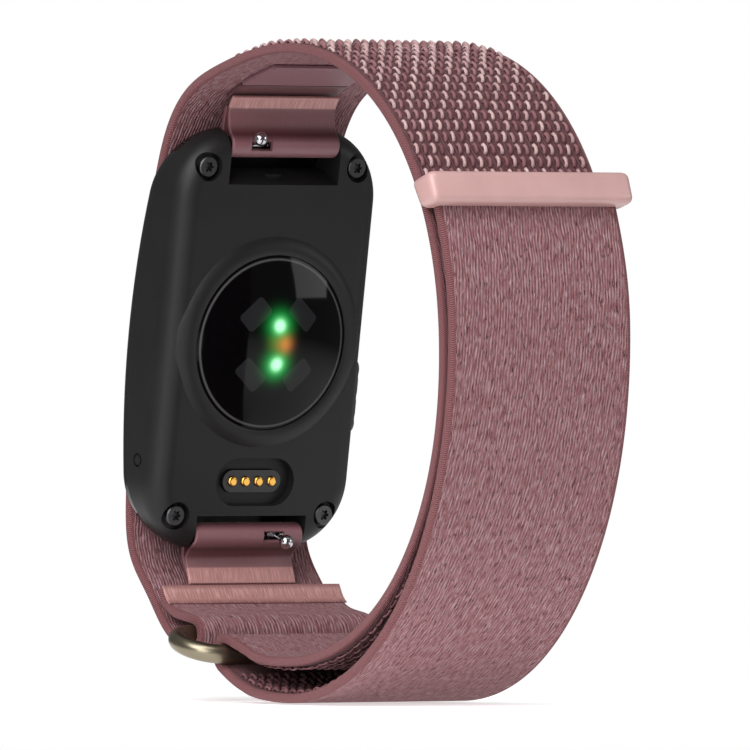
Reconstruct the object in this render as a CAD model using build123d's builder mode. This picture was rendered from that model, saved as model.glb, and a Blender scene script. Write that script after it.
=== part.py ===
"""Fitness tracker on a woven hook-and-loop wrist strap.

Frame: X is the wrist axis, Y runs from the tracker to the palm side, Z is up along the strap.
The origin is the middle of the wrist opening. All sizes are in millimetres.
"""
import os
from math import atan2, copysign, cos, degrees, radians, sin, sqrt

from build123d import *

os.makedirs("parts", exist_ok=True)

# ---------------------------------------------------------------- tracker case
case_tilt = 9.7  # degrees, top of the case leans to the palm side
case_y, case_z = -25.3, 1.44  # middle of the wrist-side face
case_width = 27.0
case_height = 47.4
case_depth = 8.8  # in the middle, cover included
front_radius = 80.0  # curve of the front, about X
corner_radius = 8.0
rear_edge_radius = 2.6
cover_thickness = 1.5
cover_inset = 0.3
seal_thickness = 0.15
floor_thickness = 1.6
wall_thickness = 1.4
part_gap = 0.08  # between pieces that drop into each other
hair_gap = 0.02  # between faces that rest on each other
cavity_corner = 3.0

notch_width = 14.6
upper_notch_v, upper_notch_deep_v = 17.7, 18.9  # where the upper notch starts, at the face and inside
lower_notch_v = 19.6
pocket_width, pocket_depth, pocket_n = 2.4, 1.1, -2.2  # small recess in the upper notch

screw_x, screw_v = 9.93, 19.6
head_diameter, head_height, head_sink = 2.35, 0.75, 0.3
counterbore_diameter = 3.2
shank_diameter, screw_length = 1.3, 3.9
drive_core, drive_lobe, drive_pitch, drive_depth = 0.42, 0.15, 0.46, 0.45  # six-lobed recess
insert_diameter, insert_length = 2.2, 1.7
boss_diameter = 3.2

lens_diameter = 19.6
lens_rise = 1.75  # of the dome above its rim
lens_rim = 0.35  # of the rim above the rear face
lens_flange = 0.7
spigot_diameter = 16.4
sensor_bay = 14.4  # diameter of the space under the lens
ring_moulding = 2.4  # width of the soft rise round the lens
moulding_height = 0.55

port_v = -15.8
well_length, well_width, well_depth = 10.4, 5.4, 1.1
island_length, island_width, island_drop = 7.7, 2.5, 0.7
pin_pitch, pin_diameter, pin_count = 1.75, 1.2, 4
pin_head, pin_length, pin_shank = 0.32, 2.3, 0.8
carrier_base = (9.4, 3.9, 0.6)

button_v, button_n = -6.6, -3.6
side_port_place, side_port_radius = (-3.7, -13.9), 0.8  # n, v on the wall opposite the button
button_length, button_width, button_proud = 8.5, 2.4, 0.9
button_travel = 0.4
flange_length, flange_width, flange_thickness = 9.5, 3.6, 0.35  # of the plunger, behind the wall
wave_pitch, wave_radius, wave_reach = 2.4, 1.2, 0.2  # grip hollows in the button
switch_gap, switch_size = 0.6, (3.0, 4.0, 0.9)  # room for the dome, and the switch in n, v and X

battery_size = (17.6, 20.0, 2.4)
pad_thickness = 0.2
board_thickness, main_board_height = 0.6, 23.0
sensor_board_diameter = 16.0
window_size, photodiode_size, led_size = (3.8, 2.45), (3.2, 1.9), 1.1
emitter_height, baffle_height = 0.8, 1.6
lens_bay_height = 1.9
shield_size, shield_depth, shield_wall = (13.0, 9.0), 0.65, 0.2
motor_diameter, motor_height, motor_place = 5.2, 2.2, (-6.0, 13.1)
flex_width, flex_thickness = 5.0, 0.12
antenna_reach, antenna_thickness = 8.5, 0.3

# ---------------------------------------------------------------- strap
strap_width = 23.7
strap_thickness = 1.05
pile_height = 0.55
pile_under_tail = 0.25
front_clearance = 0.15  # between the case front and the strap
crown_y = -5.0
half_height = 33.15  # of the wrist opening, at the crown
palm_reach = 30.0  # from the crown to the palm side
loop_power = 2.09  # 2 is an ellipse, more is squarer

ring_wire = 2.1
bar_clearance = 0.1
upper_bar = (-16.7, -33.0)  # Y, Z of the ring bar the tail turns round
lower_bar = (-23.2, -30.9)  # Y, Z of the ring bar that the sewn end holds
ring_half_length = 15.0
ring_corner = 3.3

tail_y, tail_z = -4.5, 2.0  # middle of the tail's ellipse
tail_reach, tail_drop, tail_rise = 31.25, 39.15, 31.85
tail_power = 2.05
hook_length, hook_thickness = 9.0, 0.4
hook_margin = 2.0  # from the hook patch to each strap edge

cap_length = 26.2
cap_outer_top, cap_outer_bottom = (25.5, 20.1), (26.7, 16.6)
cap_inner_bottom, cap_inner_top = (23.8, 15.8), (22.0, 18.75)
cap_edge = 0.55

# ---------------------------------------------------------------- ribbons and spring bars
bar_v, bar_n = 22.0, -1.4
tube_diameter, tube_bore, tube_length = 1.8, 1.2, 13.8
tip_diameter, tip_reach = 0.76, 8.5
slider_diameter = 1.04
knob_x = 4.3
stem_diameter, ball_diameter = 0.7, 1.6
slot_length = 2.9
ribbon_width = 14.2
ribbon_thickness = 0.55
tip_hole = 0.86
spring_radius, spring_wire, spring_pitch = 0.4, 0.1, 0.62  # of the coil's middle line, and half the wire
fixed_inset, fixed_grip = 1.4, 1.2  # of the fixed tip's plug in the tube

# ---------------------------------------------------------------- frame helpers
tilt = radians(case_tilt)
inward = Vector(0, cos(tilt), -sin(tilt))  # out of the rear face, to the wrist
rear = Plane(origin=(0, case_y, case_z), x_dir=(-1, 0, 0), z_dir=inward)
profile = Plane(origin=(0, case_y, case_z), x_dir=inward, z_dir=(1, 0, 0))  # (n, v)
lens_axis = Axis(rear.origin, inward)
inner_width = case_width - 2 * wall_thickness


def case_point(n, v):
    """Y, Z of a point n out of the rear face and v up it."""
    return (case_y + n * cos(tilt) + v * sin(tilt), case_z - n * sin(tilt) + v * cos(tilt))


def front_n(v, inset=0.0):
    """How far the front surface, moved in by inset, lies from the rear face at height v."""
    radius = front_radius - inset
    return front_radius - case_depth - sqrt(radius**2 - v**2)


def save(builder, name):
    builder.part.label = name
    export_step(builder.part, f"parts/{name}.step")


def keep_behind(inset, mode=Mode.SUBTRACT):
    """Cut away what lies in front of the front surface moved in by inset."""
    with BuildSketch(profile) as ahead:
        with Locations((-20, 0)):
            Rectangle(40, 2 * case_height)
        with Locations((front_radius - case_depth, 0)):
            Circle(front_radius - inset, mode=Mode.SUBTRACT)
    extrude(ahead.sketch, amount=case_width, both=True, mode=mode)


def side_block(low, high, x_low, x_high, mode=Mode.ADD):
    """A block given by its low and high corners in (n, v), and its two X."""
    with BuildSketch(profile.offset(x_low)) as section:
        with Locations(((low[0] + high[0]) / 2, (low[1] + high[1]) / 2)):
            Rectangle(high[0] - low[0], high[1] - low[1])
    extrude(section.sketch, amount=x_high - x_low, mode=mode)


screw_places = [(x, v) for x in (-screw_x, screw_x) for v in (-screw_v, screw_v)]

# ---------------------------------------------------------------- case shells
cavity_top, cavity_low, pocket_low = 16.2, -16.9, -18.3
boss_top = -2.3  # n of the wrist-side end of the cover's bosses

with BuildPart() as rear_housing:
    with BuildSketch(rear):
        RectangleRounded(case_width, case_height, corner_radius)
    extrude(amount=-case_depth)
    fillet(rear_housing.faces().sort_by(lens_axis)[-1].edges(), rear_edge_radius)
    moulding_out, moulding_brim = lens_diameter / 2 + ring_moulding, moulding_height - 0.1
    with BuildSketch(profile):  # soft rise round the lens
        with BuildLine():
            Polyline((-1.5, moulding_out), (-1.5, lens_diameter / 2 - 1), (0, lens_diameter / 2 - 1),
                     (moulding_brim, lens_diameter / 2 - 0.4), (moulding_brim, lens_diameter / 2 + 0.1))
            Spline((moulding_brim, lens_diameter / 2 + 0.1), (moulding_height, lens_diameter / 2 + 0.5),
                   (0.3, moulding_out - 0.8), (-0.3, moulding_out))
            Line((-0.3, moulding_out), (-1.5, moulding_out))
        make_face()
    revolve(axis=lens_axis)
    keep_behind(cover_thickness + seal_thickness)
    with BuildSketch(rear.offset(-floor_thickness)):  # room for the electronics
        with Locations((0, (cavity_top + cavity_low) / 2)):
            RectangleRounded(inner_width, cavity_top - cavity_low, cavity_corner)
        with Locations((0, (cavity_low + pocket_low) / 2 + 0.5)):
            Rectangle(11, cavity_low - pocket_low + 1)
    extrude(amount=-case_depth, mode=Mode.SUBTRACT)
    with BuildSketch(profile):  # notches for the straps, and the pocket in the upper one
        Polygon((1, upper_notch_v - 0.3), (0, upper_notch_v), (-3.2, upper_notch_deep_v),
                (-case_depth - 1, upper_notch_deep_v), (-case_depth - 1, 30), (1, 30), align=None)
        Polygon((1, -lower_notch_v), (-case_depth - 1, -lower_notch_v), (-case_depth - 1, -30), (1, -30),
                align=None)
    extrude(amount=notch_width / 2, both=True, mode=Mode.SUBTRACT)
    side_block((pocket_n, upper_notch_v - 0.1), (pocket_n + pocket_depth, upper_notch_v + 1),
               -pocket_width / 2, pocket_width / 2, Mode.SUBTRACT)
    with BuildSketch(rear):  # seat and window of the lens
        Circle(lens_diameter / 2 + part_gap)
    extrude(amount=moulding_height + 1, mode=Mode.SUBTRACT)
    with BuildSketch(rear):
        Circle(lens_diameter / 2 + part_gap)
    extrude(amount=-(lens_flange - lens_rim + 0.15), mode=Mode.SUBTRACT)
    with BuildSketch(rear):
        Circle(spigot_diameter / 2 + part_gap)
    extrude(amount=-2 * floor_thickness, mode=Mode.SUBTRACT)
    with BuildSketch(rear):  # charging well and the hole for the contact carrier
        with Locations((0, port_v)):
            SlotOverall(well_length, well_width)
    extrude(amount=-well_depth, mode=Mode.SUBTRACT)
    with BuildSketch(rear):
        with Locations((0, port_v)):
            SlotOverall(island_length + 2 * part_gap, island_width + 2 * part_gap)
    extrude(amount=-2 * floor_thickness, mode=Mode.SUBTRACT)
    with BuildSketch(rear):  # screw counterbores, screw holes and boss holes
        with Locations(*screw_places):
            Circle(counterbore_diameter / 2)
    extrude(amount=-(head_sink + head_height), mode=Mode.SUBTRACT)
    with BuildSketch(rear):
        with Locations(*screw_places):
            Circle(shank_diameter / 2 + 0.1)
    extrude(amount=-case_depth, mode=Mode.SUBTRACT)
    with BuildSketch(rear.offset(boss_top)):
        with Locations(*screw_places):
            Circle(boss_diameter / 2 + part_gap)
    extrude(amount=-case_depth, mode=Mode.SUBTRACT)
    with BuildSketch(profile.offset(-case_width / 2 - 1)):  # button opening
        with Locations((button_n, button_v)):
            SlotOverall(button_length + 0.2, button_width + 0.2, rotation=90)
    extrude(amount=wall_thickness + 2, mode=Mode.SUBTRACT)
    with BuildSketch(profile.offset(case_width / 2 - 0.2)):  # round port on the other side
        with Locations(side_port_place):
            Circle(side_port_radius)
            Circle(side_port_radius - 0.25, mode=Mode.SUBTRACT)
    extrude(amount=2, mode=Mode.SUBTRACT)
    for bar in (-bar_v, bar_v):  # holes for the spring bar tips
        with BuildSketch(profile):
            with Locations((bar_n, bar)):
                Circle(tip_hole / 2)
        extrude(amount=tip_reach + 0.4, both=True, mode=Mode.SUBTRACT)

save(rear_housing, "rear_housing")


def front_shell(near, far, mode=Mode.INTERSECT):
    """Keep the layer that lies between near and far behind the front surface."""
    with BuildSketch(profile) as layer:
        with Locations((front_radius - case_depth, 0)):
            Circle(front_radius - near)
            Circle(front_radius - far, mode=Mode.SUBTRACT)
        with Locations((50, 0)):
            Rectangle(100, 4 * front_radius, mode=Mode.SUBTRACT)
    extrude(layer.sketch, amount=case_width, both=True, mode=mode)


with BuildPart() as front_cover:
    with BuildSketch(rear):
        RectangleRounded(case_width - 2 * cover_inset, case_height - 2 * cover_inset,
                         corner_radius - cover_inset)
    extrude(amount=-case_depth - 1)
    front_shell(0, cover_thickness)
    fillet(front_cover.faces().sort_by(lens_axis)[0].edges(), cover_thickness / 2)
    with BuildSketch(rear.offset(boss_top - 0.05)):  # bosses that take the screws
        with Locations(*screw_places):
            Circle(boss_diameter / 2)
    extrude(amount=front_n(screw_v, cover_thickness / 2) - boss_top + 0.05)
    with BuildSketch(rear.offset(boss_top)):
        with Locations(*screw_places):
            Circle(insert_diameter / 2)
    extrude(amount=-insert_length, mode=Mode.SUBTRACT)
    with BuildSketch(rear.offset(boss_top)):
        with Locations(*screw_places):
            Circle(shank_diameter / 2 + 0.05)
    extrude(amount=-(screw_length + head_sink + boss_top + 0.2), mode=Mode.SUBTRACT)
save(front_cover, "front_cover")

with BuildPart() as cover_seal:
    with BuildSketch(rear):
        RectangleRounded(inner_width + 1.4, cavity_top - cavity_low + 2.6, cavity_corner + 0.5)
        RectangleRounded(inner_width + 0.2, cavity_top - cavity_low + 1.0, cavity_corner, mode=Mode.SUBTRACT)
    extrude(amount=-case_depth)
    front_shell(cover_thickness, cover_thickness + seal_thickness)
save(cover_seal, "cover_seal")

with BuildPart() as threaded_inserts:
    with BuildSketch(rear.offset(boss_top - 0.05)):
        with Locations(*screw_places):
            Circle(insert_diameter / 2 - 0.02)
            Circle(shank_diameter / 2 + 0.03, mode=Mode.SUBTRACT)
    extrude(amount=-(insert_length - 0.1))
save(threaded_inserts, "threaded_inserts")

with BuildPart() as case_screws:
    with BuildSketch(rear.offset(-head_sink)):
        with Locations(*screw_places):
            Circle(head_diameter / 2)
    extrude(amount=-head_height)
    with BuildSketch(rear.offset(-head_sink - head_height)):
        with Locations(*screw_places):
            Circle(shank_diameter / 2)
    extrude(amount=-(screw_length - head_height))
    chamfer(case_screws.faces().sort_by(lens_axis)[-4:].edges(), 0.12)
    with BuildSketch(rear.offset(-head_sink)):  # six-lobed drive
        for place in screw_places:
            with Locations(place):
                Circle(drive_core)
                with PolarLocations(drive_pitch, 6):
                    Circle(drive_lobe)
    extrude(amount=-drive_depth, mode=Mode.SUBTRACT)
save(case_screws, "case_screws")

# ---------------------------------------------------------------- optical sensor
dome_radius = (lens_diameter**2 / 4 + lens_rise**2) / (2 * lens_rise)
lens_back = lens_rim - lens_flange
spigot_back = -floor_thickness + 0.1

with BuildPart() as optical_lens:
    with BuildSketch(profile):
        with BuildLine():
            Line((spigot_back, 0), (lens_rim + lens_rise, 0))
            RadiusArc((lens_rim + lens_rise, 0), (lens_rim, lens_diameter / 2), -dome_radius)
            Polyline((lens_rim, lens_diameter / 2), (lens_back, lens_diameter / 2),
                     (lens_back, spigot_diameter / 2), (spigot_back, spigot_diameter / 2), (spigot_back, 0))
        make_face()
    revolve(axis=lens_axis)
    with BuildSketch(rear.offset(spigot_back)):
        Circle(sensor_bay / 2)
    extrude(amount=lens_bay_height, mode=Mode.SUBTRACT)
save(optical_lens, "optical_lens")

with BuildPart() as lens_gasket:
    with BuildSketch(rear.offset(lens_back - hair_gap)):
        Circle(lens_diameter / 2 - 0.1)
        Circle(spigot_diameter / 2 + part_gap + 0.1, mode=Mode.SUBTRACT)
    extrude(amount=-0.12)
save(lens_gasket, "lens_gasket")

window_places = [(x, v) for x in (-3.1, 3.1) for v in (-3.4, 3.4)]
led_places = [(0, 2.17), (0, -2.17), (0.9, 0)]
board_face = spigot_back - 0.15  # wrist side of the sensor board

with BuildPart() as sensor_board:
    with BuildSketch(rear.offset(board_face)):
        Circle(sensor_board_diameter / 2)
    extrude(amount=-board_thickness)
save(sensor_board, "sensor_board")

with BuildPart() as photodiodes:
    for x, v in window_places:
        with BuildSketch(rear.offset(board_face)):
            with Locations((x, v)):
                Rectangle(*photodiode_size, rotation=degrees(atan2(v, x)) + 90)
        extrude(amount=emitter_height)
save(photodiodes, "photodiodes")

with BuildPart() as led_emitters:
    with BuildSketch(rear.offset(board_face)):
        with Locations(*led_places):
            RectangleRounded(led_size, led_size, 0.2)
    extrude(amount=emitter_height)
save(led_emitters, "led_emitters")

with BuildPart() as light_baffle:
    with BuildSketch(rear.offset(board_face + hair_gap)):
        Circle(sensor_bay / 2 - 0.1)
        for x, v in window_places:
            with Locations((x, v)):
                RectangleRounded(*window_size, 0.5, rotation=degrees(atan2(v, x)) + 90, mode=Mode.SUBTRACT)
        with Locations((0.3, 0)):
            SlotOverall(6.4, 2.6, rotation=90, mode=Mode.SUBTRACT)
    extrude(amount=baffle_height)
save(light_baffle, "light_baffle")

# ---------------------------------------------------------------- charging contacts
with BuildPart() as contact_carrier:
    with BuildSketch(rear.offset(-island_drop)):
        with Locations((0, port_v)):
            SlotOverall(island_length, island_width)
    extrude(amount=-(floor_thickness - island_drop + hair_gap))
    with BuildSketch(rear.offset(-floor_thickness - hair_gap)):
        with Locations((0, port_v - 0.1)):
            Rectangle(carrier_base[0], carrier_base[1])
    extrude(amount=-carrier_base[2])
    with BuildSketch(rear):
        with Locations((0, port_v)):
            with GridLocations(pin_pitch, 1, pin_count, 1):
                Circle(pin_shank / 2 + hair_gap)
    extrude(amount=-2 * pin_length, mode=Mode.SUBTRACT)
save(contact_carrier, "contact_carrier")

pin_seat = -island_drop + hair_gap / 2
contact_end = pin_seat - pin_length
pin_places = [((i - (pin_count - 1) / 2) * pin_pitch, port_v) for i in range(pin_count)]
with BuildPart() as charge_contacts:
    with BuildSketch(rear.offset(pin_seat)):
        with Locations(*pin_places):
            Circle(pin_diameter / 2)
    extrude(amount=pin_head)
    fillet(charge_contacts.faces().group_by(lens_axis)[-1].edges(), pin_head - 0.04)
    with BuildSketch(rear.offset(pin_seat)):
        with Locations(*pin_places):
            Circle(pin_shank / 2)
    extrude(amount=-pin_length)
save(charge_contacts, "charge_contacts")

# ---------------------------------------------------------------- electronics
battery_face = board_face - board_thickness - 0.15
pad_face = battery_face - battery_size[2]
main_face = pad_face - pad_thickness
plunger_room = 0.7  # how far the board steps back for the button's plunger

with BuildPart() as battery:
    with BuildSketch(rear.offset(battery_face)):
        RectangleRounded(battery_size[0], battery_size[1], 1.0)
    extrude(amount=-battery_size[2])
save(battery, "battery")

with BuildPart() as battery_pad:
    with BuildSketch(rear.offset(pad_face)):
        RectangleRounded(battery_size[0] - 2, battery_size[1] - 2, 1.0)
    extrude(amount=-pad_thickness)
save(battery_pad, "battery_pad")

with BuildPart() as main_board:
    with BuildSketch(rear.offset(main_face)):
        RectangleRounded(inner_width - 1.0, main_board_height, 1.5)
        with Locations((inner_width / 2 - 1.0, button_v)):
            Rectangle(4.0, switch_size[1] + 1.0, mode=Mode.SUBTRACT)
        with Locations((inner_width / 2 - 0.5, button_v)):
            Rectangle(2 * plunger_room, flange_length + 1.0, mode=Mode.SUBTRACT)
    extrude(amount=-board_thickness)
save(main_board, "main_board")

with BuildPart() as shield_can:
    with BuildSketch(rear.offset(main_face - board_thickness)):
        RectangleRounded(*shield_size, 0.6)
    extrude(amount=-shield_depth)
    with BuildSketch(rear.offset(main_face - board_thickness)):
        RectangleRounded(shield_size[0] - 2 * shield_wall, shield_size[1] - 2 * shield_wall, 0.5)
    extrude(amount=-(shield_depth - 0.15), mode=Mode.SUBTRACT)
save(shield_can, "shield_can")

with BuildPart() as haptic_motor:
    with BuildSketch(rear.offset(-floor_thickness - 0.05)):
        with Locations(motor_place):
            Circle(motor_diameter / 2)
    extrude(amount=-motor_height)
save(haptic_motor, "haptic_motor")

flex_v = battery_size[1] / 2 + 0.3
with BuildPart() as sensor_flex:
    flex_top = battery_face + 0.01 + flex_thickness
    side_block((main_face + hair_gap, flex_v), (flex_top, flex_v + 0.15), -flex_width / 2, flex_width / 2)
    side_block((battery_face + 0.01, 7.4), (flex_top, flex_v + 0.15), -flex_width / 2, flex_width / 2)
save(sensor_flex, "sensor_flex")

with BuildPart() as charge_flex:
    flex_face = contact_end - hair_gap
    flex_end = -(main_board_height / 2 - 0.35)  # v over the edge of the main board
    side_block((main_face + hair_gap, flex_end - 0.15), (flex_face, flex_end), -3, 3)
    side_block((flex_face - 0.15, port_v - 0.7), (flex_face, flex_end), -3, 3)
save(charge_flex, "charge_flex")

with BuildPart() as antenna:
    side_block((-4.6, cavity_top - 0.4), (-2.0, cavity_top - 0.05), -antenna_reach, antenna_reach)
    side_block((-4.6, cavity_top - 4.5), (-4.6 + antenna_thickness, cavity_top - 0.05), 5.5, antenna_reach)
save(antenna, "antenna")

# ---------------------------------------------------------------- button
wall_outside = -case_width / 2
button_out = wall_outside - button_proud
button_plane = profile.offset(button_out)

with BuildPart() as button_cap:
    with BuildSketch(button_plane):
        with Locations((button_n, button_v)):
            SlotOverall(button_length, button_width, rotation=90)
    extrude(amount=button_proud + wall_thickness - button_travel)
    fillet(button_cap.faces().sort_by(Axis.X)[0].edges(), 0.35)
    for place in (-wave_pitch, 0, wave_pitch):  # grip waves
        with BuildSketch(Plane(origin=button_plane.origin + button_plane.y_dir * (button_v + place),
                               x_dir=(1, 0, 0), z_dir=inward)):
            with Locations((wave_reach - wave_radius, 0)):
                Circle(wave_radius)
        extrude(amount=case_depth, both=True, mode=Mode.SUBTRACT)
save(button_cap, "button_cap")

flange_x, nose_length = wall_outside + wall_thickness + 0.05, 0.45
with BuildPart() as button_plunger:
    with BuildSketch(profile.offset(wall_outside + wall_thickness - button_travel)):
        with Locations((button_n, button_v)):
            SlotOverall(button_length - 1.6, button_width - 0.8, rotation=90)
    extrude(amount=button_travel + 0.05)
    with BuildSketch(profile.offset(flange_x)):
        with Locations((button_n, button_v)):
            SlotOverall(flange_length, flange_width, rotation=90)
    extrude(amount=flange_thickness)
    with BuildSketch(profile.offset(flange_x + flange_thickness)):
        with Locations((button_n, button_v)):
            Circle(0.6)
    extrude(amount=nose_length)
save(button_plunger, "button_plunger")

dome_x = flange_x + flange_thickness + nose_length
switch_x = dome_x + switch_gap
with BuildPart() as switch_dome:
    with BuildSketch(profile.offset(dome_x + hair_gap)):
        with Locations((button_n, button_v)):
            Circle(0.9)
    extrude(amount=switch_gap - 2 * hair_gap, taper=-30)
save(switch_dome, "switch_dome")

with BuildPart() as side_switch:
    half_n, half_v = switch_size[0] / 2, switch_size[1] / 2
    side_block((button_n - half_n, button_v - half_v), (button_n + half_n, button_v + half_v),
               switch_x, switch_x + switch_size[2])
    fillet(side_switch.edges().filter_by(Axis.X), 0.3)
save(side_switch, "side_switch")

# ---------------------------------------------------------------- spring bars and ribbons
knob_n, knob_lean = 0.95, {"upper": 1.0, "lower": 0.4}  # where the ball stands, out of the face and up v
for end, side in (("upper", 1), ("lower", -1)):  # the lower bar mirrors the upper in X and v
    bar_place = (bar_n, side * bar_v)
    low_point = Vector(side * knob_x, *case_point(*bar_place))
    tip_point = Vector(side * knob_x, *case_point(knob_n, side * (bar_v + knob_lean[end])))

    with BuildPart() as tube:
        with BuildSketch(profile):
            with Locations(bar_place):
                Circle(tube_diameter / 2)
                Circle(tube_bore / 2, mode=Mode.SUBTRACT)
        extrude(amount=tube_length / 2, both=True)
        slot_x = (side * (knob_x + 0.5), side * (knob_x + 0.5 - slot_length))
        stem_shift = side * knob_lean[end] * 0.3
        slot_v = side * bar_v + stem_shift
        side_block((bar_n, slot_v - 0.6), (bar_n + 2, slot_v + 0.6), min(slot_x), max(slot_x), Mode.SUBTRACT)
    save(tube, f"{end}_bar_tube")

    with BuildPart() as fixed_tip:
        with BuildSketch(profile.offset(-side * (tube_length / 2 - fixed_inset))):
            with Locations(bar_place):
                Circle(tube_bore / 2)
        extrude(amount=-side * fixed_grip)
        with BuildSketch(profile.offset(-side * (tube_length / 2 - fixed_inset + fixed_grip))):
            with Locations(bar_place):
                Circle(tip_diameter / 2)
        extrude(amount=-side * (tip_reach - tube_length / 2 + fixed_inset - fixed_grip))
    save(fixed_tip, f"{end}_fixed_tip")

    slider_in, slider_out = knob_x - 1.4, tube_length / 2 - 0.3
    with BuildPart() as release_tip:
        with BuildSketch(profile.offset(side * slider_in)):
            with Locations(bar_place):
                Circle(slider_diameter / 2)
        extrude(amount=side * (slider_out - slider_in))
        with BuildSketch(profile.offset(side * slider_out)):
            with Locations(bar_place):
                Circle(tip_diameter / 2)
        extrude(amount=side * (tip_reach - slider_out))
    save(release_tip, f"{end}_release_tip")

    stem = tip_point - low_point
    with BuildPart() as release_knob:
        with BuildSketch(Plane(origin=low_point, z_dir=stem)):
            Circle(stem_diameter / 2)
        extrude(amount=stem.length)
        with Locations(tip_point):
            Sphere(ball_diameter / 2)
        with BuildSketch(profile.offset(side * (slider_in - 1))):
            with Locations(bar_place):
                Circle(slider_diameter / 2)
        extrude(amount=side * (slider_out - slider_in + 2), mode=Mode.SUBTRACT)
    save(release_knob, f"{end}_release_knob")

    spring_start = -(tube_length / 2 - fixed_inset)
    spring_length = slider_in - spring_start - 0.1
    spring_base = Vector(side * (spring_start + 0.05), *case_point(*bar_place))
    with BuildPart() as bar_spring:
        with BuildLine() as coil:
            Helix(pitch=spring_pitch, height=spring_length - 3 * spring_wire, radius=spring_radius,
                  center=spring_base + Vector(side * 1.5 * spring_wire, 0, 0), direction=(side, 0, 0))
        with BuildSketch(coil.line ^ 0):
            RegularPolygon(spring_wire * 1.06, 8)
        sweep(is_frenet=True)
    save(bar_spring, f"{end}_bar_spring")

# ---------------------------------------------------------------- ring and strap paths, as (Y, Z)
turn_radius = ring_wire / 2 + bar_clearance  # the strap's bar-side face goes round the ring at this radius


def on_circle(centre, radius, angle):
    return (centre[0] + radius * cos(radians(angle)), centre[1] + radius * sin(radians(angle)))


def heading(angle):
    """Direction of travel at an angle of a circle followed anticlockwise."""
    return (-sin(radians(angle)), cos(radians(angle)))


def oval(turn, reach_y, reach_z, power):
    """Y, Z from the middle of a squarish ellipse; turn runs from -90 at the bottom to 90 at the top."""
    c, s = abs(cos(radians(turn))), sin(radians(turn))
    return (reach_y * c ** (2 / power), reach_z * copysign(abs(s) ** (2 / power), s))


def loop_point(turn):
    """The strap's inner face round the palm side, from the crown at 90 to the heel at -90."""
    y, z = oval(turn, palm_reach, half_height, loop_power)
    return (crown_y + y, z)


def tail_point(turn):
    """The tail's inner face, from under the heel at -90 to the palm at 0 and up."""
    y, z = oval(turn, tail_reach, tail_drop if turn < 0 else tail_rise, tail_power)
    return (tail_y + y, tail_z + z)


def beside(edges, distance, spacing=2.0, fewest=8):
    """Points at a distance on the left of a chain of edges, which is the outside of the strap."""
    points = []
    for edge in edges:
        steps = max(fewest, round(edge.length / spacing))
        for step in range(steps + 1 if edge is edges[-1] else steps):
            at, way = edge.position_at(step / steps), edge.tangent_at(step / steps)
            points.append((at.Y - way.Z * distance, at.Z + way.Y * distance))
    return points


def band(edges, near, far, width, mode=Mode.ADD):
    """A strap stretch: it lies between near and far outside the edges, and is centred on X = 0."""
    inner, outer = beside(edges, near), beside(edges, far)
    with BuildSketch(Plane.YZ) as section:
        with BuildLine():
            Spline(*inner)
            Spline(*outer)
            Line(inner[0], outer[0])
            Line(inner[-1], outer[-1])
        make_face()
    extrude(section.sketch, amount=width / 2, both=True, mode=mode)


release_angle = -110  # where the sewn end's strap leaves the lower bar for the case front
front_reach = 16.0  # v up to which the strap lies on the case front
shoulder, heel_slope = (-24.7, 27.85), (-0.95, 0.31)
front_out = [case_point(front_n(v) - front_clearance, v) for v in (-front_reach, 0, front_reach)]
lean = degrees(atan2(front_reach, front_radius)) - case_tilt  # of the strap where it leaves the case front
front_up = (sin(radians(lean + 2 * case_tilt)), cos(radians(lean + 2 * case_tilt)))
front_low = (-sin(radians(lean)), cos(radians(lean)))
heel_end = (-11.4, -32.5)

with BuildLine(Plane.YZ) as sewn_line:  # from the satin end round the lower bar to the case front
    bar_top = on_circle(lower_bar, turn_radius, 90)
    bar_leave = on_circle(lower_bar, turn_radius, release_angle)
    leave = heading(release_angle)
    Spline((-29.75, -26.2), (-28.4, -28.15), (-26.2, -29.2), bar_top, tangents=((0.5, -0.85), (1, -0.25)))
    CenterArc(lower_bar, turn_radius, 90, release_angle - 90)
    Spline(bar_leave, (-26.9, -30.6), (-31.2, -26.1), (-34.6, -21.75), front_out[0],
           tangents=((-leave[0], -leave[1]), front_low))
    ThreePointArc(*front_out)
with BuildLine(Plane.YZ) as crown_line:  # over the top, from the case front to the crown
    Spline(front_out[2], (-27.8, 23.7), shoulder, (-17.6, 31.1), (crown_y, half_height),
           tangents=(front_up, (1, 0)))
with BuildLine(Plane.YZ) as palm_line:
    Spline(*[loop_point(90 - 15 * step) for step in range(13)], tangents=((1, 0), (-1, 0)))
with BuildLine(Plane.YZ) as heel_line:
    Spline(loop_point(-90), heel_end, tangents=((-1, 0), heel_slope))

hinge_in, hinge_out = (-13.1, -36.0), (-12.1, -36.35)  # the tail's inner face each side of its living hinge
turn_from, turn_to = 72, 240  # angles round the upper bar between which the strap touches it
with BuildLine(Plane.YZ) as turn_line:  # bar-side face, from the heel round the upper bar
    Spline((-12.05, -33.3), (-14.4, -32.5), on_circle(upper_bar, turn_radius, turn_from),
           tangents=(heel_slope, heading(turn_from)))
    CenterArc(upper_bar, turn_radius, turn_from, turn_to - turn_from)
    Spline(on_circle(upper_bar, turn_radius, turn_to), hinge_in, tangents=(heading(turn_to), (0.95, -0.3)))
cap_heading = (cap_outer_top[0] - cap_outer_bottom[0], cap_outer_top[1] - cap_outer_bottom[1])
cap_slope = cap_heading[0] / cap_heading[1]
straight_from = tail_point(18.5)
tail_end_z = (cap_outer_top[1] + cap_outer_bottom[1]) / 2 + 0.6
tail_end = (straight_from[0] + cap_slope * (tail_end_z - straight_from[1]), tail_end_z)
with BuildLine(Plane.YZ) as tail_line:  # the tail's inner face, from the living hinge to the cap
    Spline(hinge_out, (-8.6, -36.95), tail_point(-90), tangents=((0.95, -0.28), (1, 0)))
    Spline(*[tail_point(-90 + 15 * step) for step in range(7)], tangents=((1, 0), (0, 1)))
    Spline(tail_point(0), tail_point(9), straight_from, tail_end, tangents=((0, 1), cap_heading))

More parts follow.
